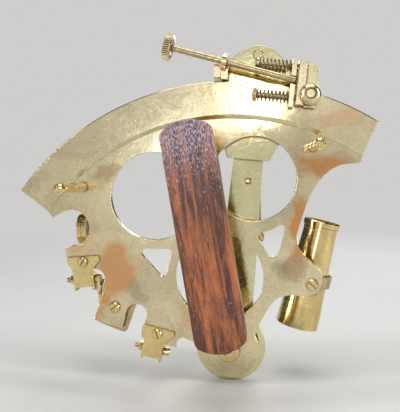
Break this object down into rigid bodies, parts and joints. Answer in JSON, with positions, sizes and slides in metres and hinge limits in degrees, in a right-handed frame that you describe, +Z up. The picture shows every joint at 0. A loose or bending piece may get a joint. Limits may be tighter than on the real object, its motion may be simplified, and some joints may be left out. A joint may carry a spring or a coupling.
{
  "type": "nautical sextant",
  "caption": "Brass nautical sextant with a wooden handle, swinging index arm, tangent screw and clamp, mirrors, tinted shades and a swivelling telescope.",
  "frame": {"origin": "middle of the grip's outer face, in the plane of the two leg tips; the index pivot is at (11.6, 41.9, -72.6) mm on the back face of the plate", "axes": "+X right seen from the handle side, +Y towards the mirrors and telescope, +Z up through the middle of the arc"},
  "size_m": [0.2128, 0.0837, 0.2074],
  "materials": {
    "cast_brass": "satin, lightly tarnished",
    "polished_brass": "polished",
    "aged_brass": "aged, darkened",
    "rosewood": "oiled, worn",
    "spring_steel": "dark",
    "scale_metal": "satin",
    "silvered_glass": "polished",
    "half_silvered_glass": "polished",
    "lens_glass": "polished",
    "red_glass": "polished",
    "green_glass": "polished",
    "smoke_glass": "polished"
  },
  "bodies": {
    "frame": {"frame_plate": "cast_brass", "support_legs": "polished_brass", "handle_grip": "rosewood", "handle_liner": "polished_brass", "grip_screws": "polished_brass", "handle_posts": "polished_brass", "handle_screws": "polished_brass", "pivot_bush": "polished_brass", "index_shade_bracket": "polished_brass", "horizon_shade_bracket": "polished_brass", "bracket_screws": "polished_brass", "shade_bolts": "polished_brass", "shade_nuts": "polished_brass", "horizon_mirror_frame": "aged_brass", "horizon_mirror_screw": "polished_brass", "horizon_glass": "half_silvered_glass", "horizon_mirror_clip": "aged_brass", "horizon_adjusters": "polished_brass"},
    "arm": {"index_arm": "cast_brass", "arm_end_plate": "cast_brass", "arm_end_screws": "polished_brass", "vernier_scale": "scale_metal", "index_spindle": "polished_brass", "pivot_nut": "polished_brass", "pivot_screw": "polished_brass", "index_mirror_frame": "aged_brass", "index_mirror": "silvered_glass", "index_mirror_clip": "aged_brass", "index_mirror_screws": "polished_brass", "index_adjuster": "polished_brass", "magnifier_screw": "polished_brass", "tangent_bearing": "aged_brass", "guide_lug": "aged_brass", "tangent_springs": "spring_steel"},
    "magnifier": {"magnifier_arm": "aged_brass", "magnifier_lens": "lens_glass"},
    "rod": {"tangent_rod": "aged_brass"},
    "knob": {"tangent_knob": "aged_brass"},
    "clamp": {"clamp_bar": "polished_brass", "clamp_block": "polished_brass", "guide_screws": "aged_brass"},
    "clamp_knob": {"clamp_screw": "polished_brass"},
    "telescope": {"telescope_tube": "polished_brass", "telescope_collar": "aged_brass", "swivel_screw": "polished_brass", "objective_lens": "lens_glass"},
    "eyepiece": {"draw_tube": "polished_brass", "eyepiece_lens": "lens_glass"},
    "index_filter_1": {"index_shade_1": "polished_brass", "index_shade_glass_1": "smoke_glass"},
    "index_filter_2": {"index_shade_2": "polished_brass", "index_shade_glass_2": "green_glass"},
    "index_filter_3": {"index_shade_3": "polished_brass", "index_shade_glass_3": "red_glass"},
    "horizon_filter_1": {"horizon_shade_1": "polished_brass", "horizon_shade_glass_1": "smoke_glass"},
    "horizon_filter_2": {"horizon_shade_2": "polished_brass", "horizon_shade_glass_2": "red_glass"},
    "horizon_filter_3": {"horizon_shade_3": "polished_brass", "horizon_shade_glass_3": "green_glass"}
  },
  "joints": [
    {"name": "index_arm_swing", "type": "hinge", "parent": "frame", "child": "arm", "pos_m": [0.0116, 0.0419, -0.0726], "axis": [0, 1, 0], "range_deg": [-46, 13]},
    {"name": "magnifier_swing", "type": "hinge", "parent": "arm", "child": "magnifier", "pos_m": [0.02785, 0.0539, -0.00483], "axis": [0, 1, 0], "range_deg": [-12, 12]},
    {"name": "tangent_travel", "type": "slide", "parent": "arm", "child": "rod", "axis": [0.9635, 0, -0.2678], "range_m": [-0.0005, 0.0025]},
    {"name": "tangent_turn", "type": "hinge", "parent": "rod", "child": "knob", "pos_m": [-0.02326, 0.0337, 0.10587], "axis": [0.9635, 0, -0.2678], "range_deg": [-181, 901]},
    {"name": "clamp_travel", "type": "slide", "parent": "arm", "child": "clamp", "axis": [0.9956, 0, -0.0941], "range_m": [-0.0005, 0.0025], "deforming": ["tangent_springs"]},
    {"name": "clamp_turn", "type": "hinge", "parent": "clamp", "child": "clamp_knob", "pos_m": [0.05682, 0.0299, 0.07741], "axis": [0, 1, 0], "range_deg": [-540, 0]},
    {"name": "telescope_swivel", "type": "hinge", "parent": "frame", "child": "telescope", "pos_m": [0.0602, 0.0454, -0.0316], "axis": [0, 1, 0], "range_deg": [0, 70]},
    {"name": "focus_slide", "type": "slide", "parent": "telescope", "child": "eyepiece", "axis": [0.225, 0, 0.9744], "range_m": [0, 0.012]},
    {"name": "index_shade_turn_1", "type": "hinge", "parent": "frame", "child": "index_filter_1", "pos_m": [-0.0353, 0.0454, -0.07435], "axis": [-0.977, 0, 0.213], "range_deg": [0, 115]},
    {"name": "index_shade_turn_2", "type": "hinge", "parent": "frame", "child": "index_filter_2", "pos_m": [-0.0353, 0.0454, -0.07435], "axis": [-0.977, 0, 0.213], "range_deg": [0, 115]},
    {"name": "index_shade_turn_3", "type": "hinge", "parent": "frame", "child": "index_filter_3", "pos_m": [-0.0353, 0.0454, -0.07435], "axis": [-0.977, 0, 0.213], "range_deg": [0, 115]},
    {"name": "horizon_shade_turn_1", "type": "hinge", "parent": "frame", "child": "horizon_filter_1", "pos_m": [-0.07775, 0.0454, -0.03195], "axis": [-0.9962, 0, -0.0872], "range_deg": [0, 105]},
    {"name": "horizon_shade_turn_2", "type": "hinge", "parent": "frame", "child": "horizon_filter_2", "pos_m": [-0.07775, 0.0454, -0.03195], "axis": [-0.9962, 0, -0.0872], "range_deg": [0, 105]},
    {"name": "horizon_shade_turn_3", "type": "hinge", "parent": "frame", "child": "horizon_filter_3", "pos_m": [-0.07775, 0.0454, -0.03195], "axis": [-0.9962, 0, -0.0872], "range_deg": [-95, 10]}
  ],
  "couplings": [
    {"joint": "tangent_turn", "follows": "tangent_travel", "rad_per_m": 6283.2},
    {"joint": "clamp_travel", "follows": "tangent_travel", "ratio": 1}
  ]
}
